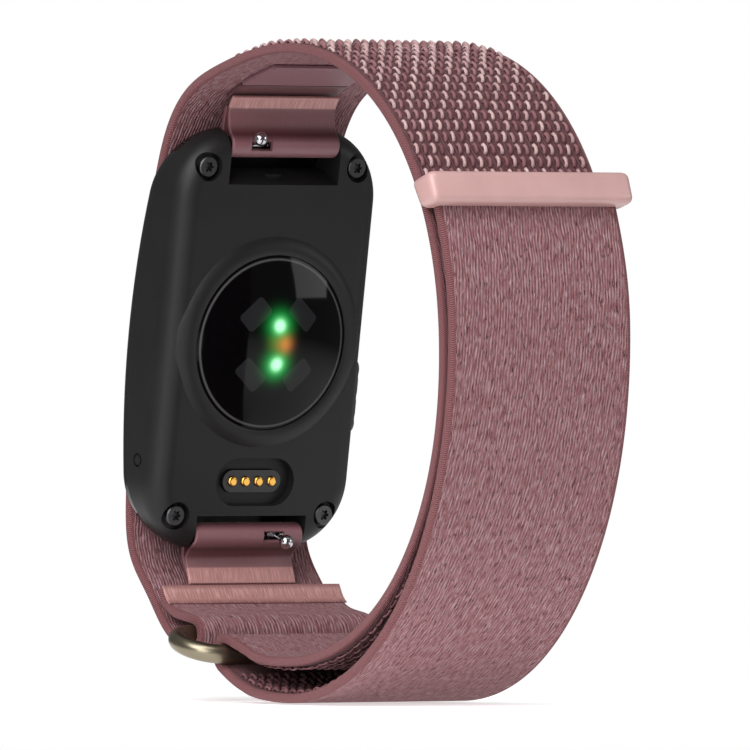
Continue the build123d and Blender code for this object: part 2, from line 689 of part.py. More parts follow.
sewn_edges, crown_edges = sewn_line.edges(), crown_line.edges()
palm_edges, heel_edges = palm_line.edges(), heel_line.edges()

with BuildPart() as strap_loop:
    band([*sewn_edges, *crown_edges, *palm_edges, *heel_edges], 0, strap_thickness, strap_width)
save(strap_loop, "strap_loop")

pile_start, pile_tail_start = 0.64, 0.27  # shares of the crown line and of the palm line
open_pile = [crown_edges[0].trim(pile_start, 1), palm_edges[0].trim(0, pile_tail_start)]
covered_pile = [palm_edges[0].trim(pile_tail_start, 1), heel_edges[0]]
with BuildPart() as loop_pile:
    pile_width = strap_width - 0.6
    band(open_pile, strap_thickness + hair_gap, strap_thickness + pile_height, pile_width)
    band(covered_pile, strap_thickness + hair_gap, strap_thickness + pile_under_tail, pile_width)
save(loop_pile, "loop_pile")

with BuildPart() as strap_turn:
    band(turn_line.edges(), 0, -strap_thickness, strap_width)
save(strap_turn, "strap_turn")

tail_edges = tail_line.edges()
hook_edge = tail_edges[-1].trim(0.25, 0.25 + hook_length / tail_edges[-1].length)

with BuildPart() as hook_patch:
    band([hook_edge], 0, -hook_thickness, strap_width - 2 * hook_margin)
save(hook_patch, "hook_patch")

with BuildPart() as strap_tail:
    band(tail_edges, 0, -strap_thickness, strap_width)
    band([hook_edge], 0, -hook_thickness, strap_width - 2 * hook_margin, Mode.SUBTRACT)
save(strap_tail, "strap_tail")

with BuildPart() as end_cap:
    with BuildSketch(Plane.YZ):
        section = Polygon(cap_outer_top, cap_outer_bottom, cap_inner_bottom, cap_inner_top, align=None)
        fillet(section.vertices(), cap_edge)
    extrude(amount=cap_length / 2, both=True)
    cap_ends = end_cap.faces().group_by(Axis.X)
    fillet(cap_ends[0].edges() + cap_ends[-1].edges(), cap_edge - 0.1)
    band(tail_edges, hair_gap, -strap_thickness - hair_gap, strap_width + 2 * hair_gap, Mode.SUBTRACT)
save(end_cap, "end_cap")

# ---------------------------------------------------------------- ring
bar_to_bar = Vector(0, upper_bar[0] - lower_bar[0], upper_bar[1] - lower_bar[1])
ring_middle = Vector(0, (upper_bar[0] + lower_bar[0]) / 2, (upper_bar[1] + lower_bar[1]) / 2)
ring_plane = Plane(origin=ring_middle, x_dir=(1, 0, 0), z_dir=Vector(1, 0, 0).cross(bar_to_bar))
with BuildSketch(ring_plane) as ring_outline:
    RectangleRounded(2 * ring_half_length, bar_to_bar.length, ring_corner)
ring_path = ring_outline.sketch.faces()[0].outer_wire()
with BuildPart() as ring:
    with BuildSketch(Plane(origin=ring_path @ 0, z_dir=ring_path % 0)):
        Circle(ring_wire / 2)
    sweep(path=ring_path)
save(ring, "ring")

# ---------------------------------------------------------------- ribbons that hold the case
bar_eye = tube_diameter / 2 + 0.05
loop_radius = bar_eye + ribbon_thickness
upper_tongue_top = [(-0.55, 23.2), (-1.65, 24.1), (-0.95, 25.9), (-0.5, 27.4)]
upper_tongue_under = [(-1.05, 27.5), (-2.6, 26.5), (-2.9, 24.4), (-2.9, 22.0)]
lower_tongue_top = [(-0.55, -23.2), (-1.95, -24.0), (-1.15, -25.6), (-0.55, -26.9)]
lower_tongue_under = [(0.0, -27.8), (-0.95, -27.05), (-2.0, -25.9), (-2.85, -24.6), (-2.9, -22.0)]
patch_edge = crown_edges[0].trim(0.36, 0.71)

for end, side, top, under in (("upper", 1, upper_tongue_top, upper_tongue_under),
                              ("lower", -1, lower_tongue_top, lower_tongue_under)):
    with BuildPart() as ribbon:
        with BuildSketch(profile):
            with Locations((bar_n, side * bar_v)):
                Circle(loop_radius)
            with BuildLine():
                Spline(*top)
                Line(top[-1], under[0])
                Spline(*under)
                Polyline(under[-1], (bar_n, side * bar_v), top[0])
            make_face()
            with Locations((bar_n, side * bar_v)):
                Circle(bar_eye, mode=Mode.SUBTRACT)
        extrude(amount=ribbon_width / 2, both=True)
        if end == "upper":
            band([patch_edge], -hair_gap, -ribbon_thickness, ribbon_width)
        knob_slot = (side * (knob_x + 0.5), side * (knob_x + 0.5 - slot_length))
        side_block((bar_n, side * bar_v - 1.1), (bar_n + 4, side * bar_v + 1.1),
                   min(knob_slot), max(knob_slot), Mode.SUBTRACT)
    save(ribbon, f"{end}_ribbon")
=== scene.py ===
import math

import bpy
import numpy as np
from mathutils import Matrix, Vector


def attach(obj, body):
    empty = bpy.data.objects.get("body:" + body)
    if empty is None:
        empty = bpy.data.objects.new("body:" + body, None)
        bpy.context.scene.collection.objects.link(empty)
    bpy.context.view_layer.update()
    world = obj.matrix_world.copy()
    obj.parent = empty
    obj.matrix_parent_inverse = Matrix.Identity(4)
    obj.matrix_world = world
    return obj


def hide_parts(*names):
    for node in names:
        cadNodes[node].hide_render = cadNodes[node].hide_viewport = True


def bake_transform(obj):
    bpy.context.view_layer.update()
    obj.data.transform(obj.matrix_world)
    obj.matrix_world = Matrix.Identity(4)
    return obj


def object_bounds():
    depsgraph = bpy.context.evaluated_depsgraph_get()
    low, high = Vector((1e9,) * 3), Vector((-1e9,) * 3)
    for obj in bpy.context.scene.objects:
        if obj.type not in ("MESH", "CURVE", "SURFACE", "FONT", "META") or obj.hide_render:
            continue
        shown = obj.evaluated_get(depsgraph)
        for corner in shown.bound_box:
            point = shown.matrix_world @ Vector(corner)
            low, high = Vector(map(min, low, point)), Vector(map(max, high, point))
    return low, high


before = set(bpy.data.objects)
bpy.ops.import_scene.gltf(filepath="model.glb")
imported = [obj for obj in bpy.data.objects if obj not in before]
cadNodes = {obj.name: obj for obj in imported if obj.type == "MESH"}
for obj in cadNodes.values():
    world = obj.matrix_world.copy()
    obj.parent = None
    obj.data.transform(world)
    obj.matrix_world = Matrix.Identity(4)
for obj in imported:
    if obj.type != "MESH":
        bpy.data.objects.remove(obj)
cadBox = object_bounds()
scene = bpy.context.scene
mm = 0.001
print("packed parts read:", len(cadNodes))

# the tracker's own directions: up is along its wrist-side face, inward points to the wrist; tilt in degrees
case = {
    "y": -25.3 * mm, "z": 1.44 * mm, "tilt": 9.7,
    "depth": 8.8 * mm, "frontRadius": 80 * mm,
    "barUp": 22 * mm, "barIn": -1.4 * mm,
}
caseTilt = math.radians(case["tilt"])
caseUp = Vector((0, math.sin(caseTilt), math.cos(caseTilt)))
caseIn = Vector((0, math.cos(caseTilt), -math.sin(caseTilt)))


def onCase(inward, up):  # Y and Z of a point of the tracker, in metres
    spot = Vector((0, case["y"], case["z"])) + caseIn * inward + caseUp * up
    return (spot.y, spot.z)


# span is the width that the frame shows at the aim, near and far are where the camera stops seeing, in metres
view = {"turn": math.radians(34.4), "aim": Vector((2.02, -1.384, -2.2)) * mm, "span": 82.4 * mm,
        "lens": 800, "sensor": 36, "near": 0.1, "far": 20}


def setCamera():
    away = view["span"] * view["lens"] / view["sensor"]
    side = Vector((math.sin(view["turn"]), math.cos(view["turn"]), 0))
    place = view["aim"] + side * away
    bpy.ops.object.camera_add(location=place, rotation=side.to_track_quat("Z", "Y").to_euler())
    camera = bpy.context.object
    camera.data.lens = view["lens"]
    camera.data.clip_start, camera.data.clip_end = view["near"], view["far"]
    scene.camera = camera
    print("camera set")


lights = {  # direction from the strap, distance, size, power
    "keySoftbox": ((0.75, 0.35, 0.75), 0.42, (0.26, 0.26), 1.35),
    "palmSoftbox": ((0.75, 0.75, 0.35), 0.50, (0.22, 0.30), 0.9),
    "edgeStrip": ((0.82, 0.50, -0.18), 0.40, (0.03, 0.34), 0.35),
    "lensGlint": ((-0.80, 0.56, 0.22), 0.40, (0.14, 0.14), 0.2),
    "highFill": ((0.1, 0.45, 1.0), 0.50, (0.30, 0.12), 0.75),
}
room = 0.22  # light from all round, beside the lamps; the camera itself sees white


def hangLights():
    for name, (toward, far, size, power) in lights.items():
        direction = Vector(toward).normalized()
        bpy.ops.object.light_add(type="AREA", location=direction * far,
                                 rotation=direction.to_track_quat("Z", "Y").to_euler())
        lamp = bpy.context.object
        lamp.name = name
        lamp.data.shape = "RECTANGLE"
        lamp.data.size, lamp.data.size_y = size
        lamp.data.energy = power
    world = bpy.data.worlds.new("paleRoom")
    world.use_nodes = True
    tree = world.node_tree
    background = tree.nodes["Background"]
    background.inputs["Color"].default_value = (1, 1, 1, 1)
    seen = addNode(tree, "LightPath").outputs["Is Camera Ray"]
    tree.links.new(calc(tree, "MULTIPLY_ADD", seen, 1 - room, room), background.inputs["Strength"])
    scene.world = world
    scene.view_settings.view_transform = "Standard"
    print("lights hung:", len(lights))


def paint(red, green, blue):  # a colour as it is seen, turned into light
    seen = [value / 255 for value in (red, green, blue)]
    return tuple(v / 12.92 if v <= 0.04045 else ((v + 0.055) / 1.055) ** 2.4 for v in seen) + (1,)


def addNode(tree, kind, inputs=None, **settings):
    made = tree.nodes.new("ShaderNode" + kind)
    for key, value in settings.items():
        setattr(made, key, value)
    for key, value in (inputs or {}).items():
        if isinstance(value, bpy.types.NodeSocket):
            tree.links.new(value, made.inputs[key])
        else:
            made.inputs[key].default_value = value
    return made


def calc(tree, operation, first, second=0.0, third=0.0):
    made = addNode(tree, "Math", {0: first, 1: second, 2: third}, operation=operation)
    return made.outputs[0]


def ease(tree, value, low, high, lowOut=0.0, highOut=1.0):  # a soft step between low and high
    inputs = {"Value": value, "From Min": low, "From Max": high, "To Min": lowOut, "To Max": highOut}
    return addNode(tree, "MapRange", inputs, interpolation_type="SMOOTHSTEP").outputs["Result"]


def mixPaint(tree, share, first, second, blend="MIX"):
    made = addNode(tree, "Mix", data_type="RGBA", blend_type=blend)
    for socket, value in ((made.inputs[0], share), (made.inputs[6], first), (made.inputs[7], second)):
        if isinstance(value, bpy.types.NodeSocket):
            tree.links.new(value, socket)
        else:
            socket.default_value = value
    return made.outputs[2]


def rampPaint(tree, value, stops):
    made = addNode(tree, "ValToRGB", {"Fac": value})
    band = made.color_ramp
    while len(band.elements) < len(stops):
        band.elements.new(0.5)
    for element, (place, colour) in zip(band.elements, stops):
        element.position, element.color = place, colour
    return made.outputs["Color"]


def noiseAt(tree, coordinates, scale, detail=2.0, roughness=0.5):
    inputs = {"Vector": coordinates, "Scale": scale, "Detail": detail, "Roughness": roughness}
    return addNode(tree, "TexNoise", inputs).outputs["Fac"]


def stretched(tree, coordinates, scales):
    return addNode(tree, "Mapping", {"Vector": coordinates, "Scale": scales}).outputs["Vector"]


def emboss(tree, height, depth):
    return addNode(tree, "Bump", {"Height": height, "Distance": depth, "Strength": 1.0}).outputs["Normal"]


def startMaterial(name, roughness, sockets=None):
    material = bpy.data.materials.new(name)
    material.use_nodes = True
    tree = material.node_tree
    shader = tree.nodes["Principled BSDF"]
    shader.inputs["Roughness"].default_value = roughness
    for key, value in (sockets or {}).items():
        shader.inputs[key].default_value = value
    return material, tree, shader


def objectPlace(tree):
    return addNode(tree, "TexCoord").outputs["Object"]


def plug(tree, shader, colour, normal=None, roughness=None):
    for key, socket in (("Base Color", colour), ("Normal", normal), ("Roughness", roughness)):
        if socket is not None:
            tree.links.new(socket, shader.inputs[key])


def darker(colour, share):
    return tuple(v * share for v in colour[:3]) + (1,)


def mouldedPlastic(name, colour, roughness, grain=0.12 * mm, depth=0.012 * mm, coat=0.0, shine=0.5):
    material, tree, shader = startMaterial(
        name, roughness, {"Coat Weight": coat, "Coat Roughness": 0.08, "Specular IOR Level": shine})
    place = objectPlace(tree)
    sparkle = noiseAt(tree, place, 1 / grain, 2)
    cloud = noiseAt(tree, place, 1 / (4 * mm), 3)
    light = tuple(min(v * 1.12 + 0.001, 1) for v in colour[:3]) + (1,)
    plug(tree, shader, mixPaint(tree, cloud, darker(colour, 0.86), light), emboss(tree, sparkle, depth),
         calc(tree, "MULTIPLY_ADD", cloud, 0.12, roughness - 0.06))
    return material


def turnedMetal(name, colour, roughness, stretch=(1, 1, 1), grain=0.1 * mm):
    material, tree, shader = startMaterial(name, roughness, {"Metallic": 1.0})
    place = stretched(tree, objectPlace(tree), stretch)
    lines = noiseAt(tree, place, 1 / grain, 3)
    cloud = noiseAt(tree, place, 1 / (3 * mm), 2)
    plug(tree, shader, mixPaint(tree, cloud, darker(colour, 0.8), colour), emboss(tree, lines, 0.004 * mm),
         calc(tree, "MULTIPLY_ADD", lines, 0.18, roughness - 0.09))
    return material


def circuitBoard():
    material, tree, shader = startMaterial("greenBoard", 0.4)
    place = objectPlace(tree)
    tracks = addNode(tree, "TexBrick", {
        "Vector": place, "Scale": 1 / (1.2 * mm), "Mortar Size": 0.05,
        "Color1": paint(22, 70, 48), "Color2": paint(30, 92, 60), "Mortar": paint(170, 130, 60)})
    plug(tree, shader, tracks.outputs["Color"], emboss(tree, tracks.outputs["Fac"], 0.02 * mm))
    return material


dome = {
    "windowAt": (3.1 * mm, 3.4 * mm), "windowHalf": (1.22 * mm, 1.9 * mm), "windowCorner": 0.55 * mm,
    # the rim values place a thin painted highlight ring near the lens edge, in metres from its middle
    "windowEdge": 0.12 * mm, "rimHighlightIn": (9.2 * mm, 9.4 * mm), "rimHighlightOut": (9.42 * mm, 9.6 * mm), "rimHighlightShare": 0.35,
    "lights": (  # across and up from the middle and spread in millimetres, colour, strength
        (0, 2.17, 1.35, (0.02, 0.60, 0.10, 1), 1.0), (0, 2.17, 0.62, (0.6, 1.0, 0.72, 1), 1.6),
        (0, -2.17, 1.35, (0.02, 0.60, 0.10, 1), 1.0), (0, -2.17, 0.62, (0.6, 1.0, 0.72, 1), 1.6),
        (-0.85, 0.1, 0.95, (0.70, 0.20, 0.05, 1), 0.8), (0.6, 0.2, 0.9, (0.10, 0.14, 0.01, 1), 0.6)),
}


def domeGlass():
    # black glossy dome: four leaning windows, a thin painted highlight ring at the rim, two green lights, an
    # amber and a faint olive one
    material, tree, shader = startMaterial("domeGlass", 0.06, {
        "IOR": 1.5, "Specular IOR Level": 0.12, "Emission Strength": 1.0})
    place = objectPlace(tree)
    across = addNode(tree, "SeparateXYZ", {"Vector": place}).outputs["X"]
    fromMiddle = addNode(tree, "VectorMath", {0: place, 1: (0, case["y"], case["z"])}, operation="SUBTRACT")
    up = addNode(tree, "VectorMath", {0: fromMiddle.outputs["Vector"], 1: tuple(caseUp)},
                 operation="DOT_PRODUCT").outputs["Value"]
    windowAt, corner = dome["windowAt"], dome["windowCorner"]
    lean = math.atan2(windowAt[1], windowAt[0])
    outX = calc(tree, "SUBTRACT", calc(tree, "ABSOLUTE", across), windowAt[0])
    outUp = calc(tree, "SUBTRACT", calc(tree, "ABSOLUTE", up), windowAt[1])
    sides = []
    for turn, half in zip((lean, lean + math.pi / 2), dome["windowHalf"]):
        run = calc(tree, "MULTIPLY_ADD", outX, math.cos(turn), calc(tree, "MULTIPLY", outUp, math.sin(turn)))
        over = calc(tree, "SUBTRACT", calc(tree, "ABSOLUTE", run), half - corner)
        sides.append(calc(tree, "POWER", calc(tree, "MAXIMUM", over, 0.0), 2.0))
    reach = calc(tree, "SQRT", calc(tree, "ADD", sides[0], sides[1]))
    window = ease(tree, reach, corner, corner - dome["windowEdge"])
    colour = mixPaint(tree, window, paint(4, 4, 5), paint(32, 32, 34))

    def farSquared(x, v):  # from a point of the dome, in metres
        parts = [calc(tree, "POWER", calc(tree, "SUBTRACT", spot, middle), 2.0)
                 for spot, middle in ((across, x), (up, v))]
        return calc(tree, "ADD", *parts)

    out = calc(tree, "SQRT", farSquared(0.0, 0.0))
    # a thin pale ring near the edge: painted highlight
    rim = calc(tree, "SUBTRACT", ease(tree, out, *dome["rimHighlightIn"]), ease(tree, out, *dome["rimHighlightOut"]))
    colour = mixPaint(tree, calc(tree, "MULTIPLY", rim, dome["rimHighlightShare"]), colour, paint(120, 120, 122))
    glow = None
    for x, v, size, tint, power in dome["lights"]:
        away = calc(tree, "MULTIPLY", farSquared(x * mm, v * mm), -1 / (size * mm) ** 2)
        fade = calc(tree, "EXPONENT", away)
        lit = mixPaint(tree, calc(tree, "MULTIPLY", fade, power), (0, 0, 0, 1), tint)
        glow = lit if glow is None else mixPaint(tree, 1.0, glow, lit, "ADD")
    plug(tree, shader, colour)
    tree.links.new(glow, shader.inputs["Emission Color"])
    return material


def dressHardParts():
    steel = turnedMetal("brightSteel", paint(190, 190, 194), 0.16)
    board = circuitBoard()
    blackCase = mouldedPlastic("blackCase", paint(22, 22, 23), 0.46, shine=0.27)
    cellFoil = turnedMetal("cellFoil", paint(176, 178, 182), 0.38, (1, 6, 1))
    amberFilm = mouldedPlastic("amberFilm", paint(170, 105, 40), 0.4)
    greyRubber = mouldedPlastic("greyRubber", paint(70, 70, 74), 0.75)
    roseCap = mouldedPlastic("roseCap", paint(184, 146, 143), 0.34, 0.3 * mm, 0.006 * mm, 0.12)
    looks = {
        blackCase: ["rear_housing"],
        mouldedPlastic("glossyFront", paint(8, 8, 9), 0.1, depth=0.002 * mm, coat=0.4): ["front_cover"],
        mouldedPlastic("blackButton", paint(34, 34, 35), 0.38): ["button_cap", "button_plunger"],
        domeGlass(): ["optical_lens"],
        greyRubber: ["cover_seal", "lens_gasket", "battery_pad"],
        turnedMetal("blackenedScrew", paint(78, 78, 80), 0.4): ["case_screws"],
        turnedMetal("brass", paint(196, 160, 90), 0.35): ["threaded_inserts", "antenna"],
        turnedMetal("goldPins", paint(232, 178, 88), 0.22): ["charge_contacts"],
        mouldedPlastic("contactBlock", paint(22, 22, 23), 0.35): ["contact_carrier", "light_baffle"],
        board: ["sensor_board", "main_board"],
        cellFoil: ["battery", "shield_can", "haptic_motor"],
        mouldedPlastic("sensorChip", paint(30, 28, 38), 0.25): ["photodiodes"],
        mouldedPlastic("lampChip", paint(220, 230, 170), 0.3): ["led_emitters"],
        amberFilm: ["sensor_flex", "charge_flex"],
        steel: ["switch_dome", "side_switch", "upper_bar_tube", "upper_fixed_tip", "upper_release_tip",
                "upper_release_knob", "upper_bar_spring", "lower_bar_tube", "lower_fixed_tip",
                "lower_release_tip", "lower_release_knob", "lower_bar_spring"],
        turnedMetal("satinNickel", paint(140, 131, 112), 0.34, (0.4, 1, 1), 0.16 * mm): ["ring"],
        roseCap: ["end_cap"],
    }
    for material, names in looks.items():
        for name in names:
            cadNodes[name].data.materials.clear()
            cadNodes[name].data.materials.append(material)
    print("hard parts dressed")
    return roseCap


# row and columns are the cloth grid's faces along and across
strap = {"width": 23.7 * mm, "thickness": 1.05 * mm, "selvage": 0.5 * mm, "row": 0.42 * mm, "columns": 30}
weave = {
    "column": 0.42, "rib": 0.24 * mm, "ribSlope": 0.5, "lean": 0.1, "waver": 0.6, "bump": 0.07 * mm,
    # how fine each pattern is along and across the strap, per metre
    "drift": (330.0, 420.0), "broad": (160.0, 350.0),
    "longStreak": (780.0, 3600.0), "dashes": (1050.0, 4100.0), "wisps": (800.0, 4900.0),
}


def stripPlace(tree):  # each strip's UV map holds metres across and metres along
    split = addNode(tree, "SeparateXYZ", {"Vector": addNode(tree, "UVMap", uv_map="UVMap").outputs["UV"]})
    return split.outputs["X"], split.outputs["Y"]


def scaledPair(tree, first, second, scales):
    return addNode(tree, "CombineXYZ", {"X": calc(tree, "MULTIPLY", first, scales[0]),
                                        "Y": calc(tree, "MULTIPLY", second, scales[1])}).outputs["Vector"]


def fromEdge(tree, width):  # metres in from the nearer long edge
    across = addNode(tree, "SeparateXYZ", {"Vector": objectPlace(tree)}).outputs["X"]
    return calc(tree, "SUBTRACT", width / 2, calc(tree, "ABSOLUTE", across))


def waves(tree, run, pitch):  # from 0 to 1 and back over each pitch
    wave = calc(tree, "SINE", calc(tree, "MULTIPLY", run, 2 * math.pi / pitch))
    return calc(tree, "MULTIPLY_ADD", wave, 0.5, 0.5)


def sheenCloth(name, roughness, weight, sheenRoughness, tint, shine=0.5):
    return startMaterial(name, roughness, {"Sheen Weight": weight, "Sheen Roughness": sheenRoughness,
                                           "Sheen Tint": tint, "Specular IOR Level": shine})


def wovenStrap():
    # floats of yarn that run lengthwise and wander a little, with painted shade in the dips between; a ribbed
    # selvage
    material, tree, shader = sheenCloth("wovenStrap", 0.75, 0.12, 0.45, paint(214, 186, 188), 0.2)
    across, along = stripPlace(tree)
    drift = noiseAt(tree, scaledPair(tree, along, across, weave["drift"]), 1.0, 1)
    upright = calc(tree, "MULTIPLY", across, 1000.0)
    leaning = calc(tree, "MULTIPLY_ADD", along, weave["lean"] * 1000.0, upright)
    waver = calc(tree, "MULTIPLY_ADD", drift, weave["waver"], leaning)
    columns = waves(tree, waver, weave["column"])
    wandered = calc(tree, "MULTIPLY", waver, mm)
    longStreak, dashes, wisps = [
        noiseAt(tree, scaledPair(tree, along, wandered, weave[key]), 1.0, detail, 0.55)
        for key, detail in (("longStreak", 2), ("dashes", 1), ("wisps", 1))]
    broad = noiseAt(tree, scaledPair(tree, along, across, weave["broad"]), 1.0, 2)
    colour = rampPaint(tree, longStreak, [(0.34, paint(114, 70, 74)), (0.5, paint(140, 99, 103)),
                                          (0.64, paint(150, 122, 127))])
    # darker in the dips between the floats: painted shade
    colour = mixPaint(tree, ease(tree, columns, 0.0, 0.45, 0.65, 0), colour, paint(92, 52, 56))
    colour = mixPaint(tree, ease(tree, dashes, 0.60, 0.68, 0, 0.85), colour, paint(58, 26, 30))
    colour = mixPaint(tree, ease(tree, wisps, 0.60, 0.68, 0, 0.5), colour, paint(180, 152, 156))
    colour = mixPaint(tree, ease(tree, broad, 0.35, 0.65, 0.12, 0), colour, paint(122, 78, 80))
    height = calc(tree, "MULTIPLY_ADD", ease(tree, dashes, 0.58, 0.72), -0.7, columns)
    height = calc(tree, "MULTIPLY_ADD", wisps, 0.5, height)
    outside = addNode(tree, "Attribute", attribute_name="outside").outputs["Fac"]
    pastStart = ease(tree, along, weave["pileFrom"] - 2 * mm, weave["pileFrom"])
    # the outer face under the pile is darkened: painted shade under the loops
    shadeUnderPile = calc(tree, "MULTIPLY", outside, pastStart)
    colour = mixPaint(tree, calc(tree, "MULTIPLY", shadeUnderPile, 0.8), colour, paint(74, 42, 46))
    ribs = waves(tree, calc(tree, "MULTIPLY_ADD", across, weave["ribSlope"], along), weave["rib"])
    selvageColour = mixPaint(tree, ribs, paint(88, 46, 50), paint(134, 88, 91))
    inside = ease(tree, fromEdge(tree, strap["width"]),
                  strap["selvage"] - 0.08 * mm, strap["selvage"] + 0.05 * mm)
    colour = mixPaint(tree, inside, selvageColour, colour)
    height = calc(tree, "MULTIPLY_ADD", inside, calc(tree, "SUBTRACT", height, ribs), ribs)
    plug(tree, shader, colour, emboss(tree, height, weave["bump"]))
    return material


def pileYarn():
    material, tree, shader = sheenCloth("pileYarn", 0.8, 0.15, 0.4, paint(224, 190, 190), 0.2)
    shade = addNode(tree, "Attribute", attribute_name="shade").outputs["Fac"]
    colour = rampPaint(tree, shade, [(0.0, paint(96, 58, 62)), (0.35, paint(132, 92, 96)),
                                     (0.65, paint(168, 132, 134)), (1.0, paint(200, 172, 170))])
    fibre = noiseAt(tree, stretched(tree, objectPlace(tree), (1, 0.4, 0.4)), 1 / (0.09 * mm), 3)
    plug(tree, shader, mixPaint(tree, ease(tree, fibre, 0.35, 0.65, 0.25, 0), colour, paint(86, 52, 54)),
         emboss(tree, fibre, 0.05 * mm))
    return material


def satinRibbon(name, stops, satinEnds, brushed=0.4):
    # stops say the colour along the strip, in millimetres, and satinEnds where its satin stretch stops;
    # brushed is how much the threads show on the satin
    material, tree, shader = sheenCloth(name, 0.42, 0.3, 0.35, paint(226, 186, 180))
    across, along = stripPlace(tree)
    share = calc(tree, "DIVIDE", calc(tree, "MULTIPLY", along, 1000.0), stops[-1][0])
    colour = rampPaint(tree, share, [(place / stops[-1][0], paint(*tint)) for place, tint in stops])
    threads = noiseAt(tree, scaledPair(tree, along, across, (500.0, 9000.0)), 1.0, 3, 0.6)
    crossThreads = noiseAt(tree, scaledPair(tree, along, across, (6000.0, 1500.0)), 1.0, 2)
    onSatin = ease(tree, along, satinEnds * mm, satinEnds * mm + 0.1 * mm, 1, 0.15)
    darkShare = calc(tree, "MULTIPLY", ease(tree, threads, 0.35, 0.65, brushed, 0), onSatin)
    paleShare = calc(tree, "MULTIPLY", ease(tree, threads, 0.55, 0.75, 0, brushed), onSatin)
    colour = mixPaint(tree, darkShare, colour, paint(92, 48, 50))
    colour = mixPaint(tree, paleShare, colour, paint(232, 196, 186))
    height = calc(tree, "MULTIPLY_ADD", crossThreads, 0.6, threads)
    plug(tree, shader, colour, emboss(tree, calc(tree, "MULTIPLY", height, onSatin), 0.02 * mm))
    return material


def smoothThrough(points, leave, arrive):
    # a smooth line in the Y-Z plane through the points, leaving and arriving in the given directions
    step = 0.25  # millimetres, as the points are
    spots = np.array(points, float)
    gaps = np.linalg.norm(np.diff(spots, axis=0), axis=1)
    system, pull = np.eye(len(spots)), np.zeros((len(spots), 2))
    pull[0] = np.array(leave) / np.linalg.norm(leave)
    pull[-1] = np.array(arrive) / np.linalg.norm(arrive)
    for i in range(1, len(spots) - 1):
        before, after = gaps[i - 1], gaps[i]
        system[i, i - 1:i + 2] = after, 2 * (before + after), before
        pull[i] = 3 * (after * (spots[i] - spots[i - 1]) / before
                       + before * (spots[i + 1] - spots[i]) / after)
    slopes = np.linalg.solve(system, pull)
    line = []
    for i, gap in enumerate(gaps):
        for t in np.linspace(0, 1, max(3, round(gap / step)), endpoint=False):
            line.append((2 * t**3 - 3 * t**2 + 1) * spots[i] + (t**3 - 2 * t**2 + t) * gap * slopes[i]
                        + (3 * t**2 - 2 * t**3) * spots[i + 1] + (t**3 - t**2) * gap * slopes[i + 1])
    return [tuple(p) for p in line] + [tuple(spots[-1])]


def roundPeg(centre, radius, start, finish, steps=28):  # an arc in millimetres, angles in degrees
    turns = np.radians(np.linspace(start, finish, steps))
    return [(centre[0] + radius * math.cos(a), centre[1] + radius * math.sin(a)) for a in turns]


def onPeg(centre, radius, angle):
    return roundPeg(centre, radius, angle, angle, 1)[0]


def squareOval(shape, start, finish, steps):  # the right half of an oval with flattened sides, low and high
    middle, reach, drop, rise, power = (shape[key] for key in ("middle", "reach", "drop", "rise", "power"))
    line = []
    for turn in np.radians(np.linspace(start, finish, steps)):
        tall = rise if math.sin(turn) > 0 else drop
        line.append((middle[0] + reach * abs(math.cos(turn)) ** (2 / power),
                     middle[1] + tall * math.copysign(abs(math.sin(turn)) ** (2 / power), math.sin(turn))))
    return line


def withoutDoubles(points, closest):
    spots = np.array(points)
    return spots[np.r_[True, np.linalg.norm(np.diff(spots, axis=0), axis=1) > closest]]


def shifted(points, distance):  # the same line moved to its left, in millimetres
    spots = withoutDoubles(points, 1e-4)
    way = np.gradient(spots, axis=0)
    way /= np.linalg.norm(way, axis=1)[:, None]
    return [tuple(p) for p in spots + distance * np.c_[-way[:, 1], way[:, 0]]]


def measured(points):  # a line in metres that knows its own length
    spots = withoutDoubles(np.array(points) * mm, 1e-7)
    run = np.r_[0, np.cumsum(np.linalg.norm(np.diff(spots, axis=0), axis=1))]
    return {"spots": spots, "run": run, "length": run[-1]}


def alongAt(line, y, z):  # how far along the line the nearest point is
    return line["run"][np.argmin(np.hypot(line["spots"][:, 0] - y, line["spots"][:, 1] - z))]


# the strap's course in Y and Z, in millimetres; angles on the ring's bars in degrees
lines = {
    "barRadius": 1.15, "upperBar": (-16.7, -33.0), "lowerBar": (-23.2, -30.9),
    "sewnEnd": [(-29.75, -26.2), (-28.4, -28.15), (-26.2, -29.2)], "sewnWays": ((0.5, -0.85), (1, -0.25)),
    "onBar": 88, "release": -110, "frontFoot": [(-26.9, -30.6), (-31.2, -26.1), (-34.6, -21.75)],
    "frontReach": 16.0, "frontClearance": 0.15,
    "crownRise": [(-27.8, 23.7), (-24.7, 27.85), (-17.6, 31.1)], "crown": (-5, 33.15),
    "palm": {"middle": (-5, 0), "reach": 30.0, "drop": 33.15, "rise": 33.15, "power": 2.09},
    "heel": (-11.4, -32.5), "heelWay": (-0.95, 0.31), "turnIn": [(-12.05, -33.3), (-14.4, -32.5)],
    "turnFrom": 72, "turnTo": 240, "turnOut": (-13.1, -36.0), "turnWay": (0.95, -0.3),
    "tailIn": [(-12.1, -36.35), (-8.6, -36.95)], "tailWay": (0.95, -0.28),
    "tail": {"middle": (-4.5, 2.0), "reach": 31.25, "drop": 39.15, "rise": 31.85, "power": 2.05},
    "tailRise": 18.5, "capTop": (25.5, 20.1), "capBottom": (26.7, 16.6), "capDepth": 0.6,
}


def frontSpot(up):  # where the strap's inner face lies on the tracker's front, in millimetres
    radius, depth = case["frontRadius"] / mm, case["depth"] / mm
    inward = radius - depth - math.sqrt(radius**2 - up**2) - lines["frontClearance"]
    return tuple(v / mm for v in onCase(inward * mm, up * mm))


def heading(angle):  # direction of travel at an angle of a circle followed anticlockwise
    return (-math.sin(math.radians(angle)), math.cos(math.radians(angle)))


